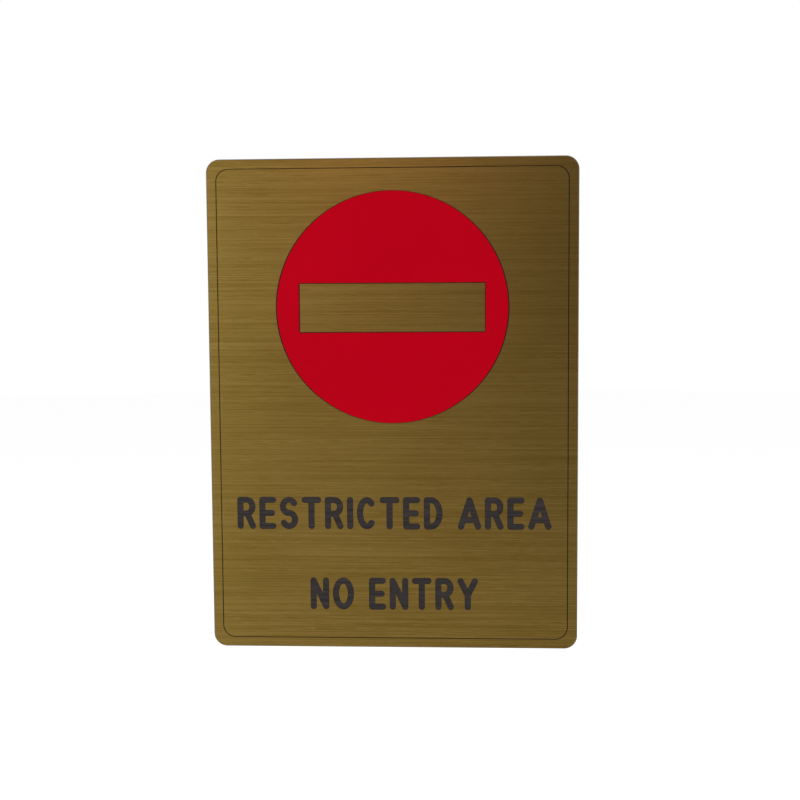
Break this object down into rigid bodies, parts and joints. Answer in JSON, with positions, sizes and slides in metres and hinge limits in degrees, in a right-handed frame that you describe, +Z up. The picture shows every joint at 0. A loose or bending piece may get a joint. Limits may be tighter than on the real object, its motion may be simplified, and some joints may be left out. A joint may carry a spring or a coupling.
{
  "type": "no entry sign",
  "caption": "Thin rounded brushed gold plate for a door or wall that warns against entry: engraved border line, inlaid red disc with a gold bar across it, and an engraved legend below.",
  "frame": {"origin": "centre of the flat back face", "axes": "+Z up the height, +X along the width to the viewer's right, the face looks along -Y and the back along +Y"},
  "size_m": [0.15, 0.0015, 0.2],
  "materials": {
    "black_core": "matte, engraved and cut edges slightly frosted",
    "gold_cap": "brushed across the width, satin metallic",
    "red_inlay": "satin"
  },
  "bodies": {
    "root": {"core_sheet": "black_core", "gold_rim": "gold_cap", "gold_field": "gold_cap", "gold_bar": "gold_cap", "red_disc": "red_inlay"}
  },
  "joints": []
}
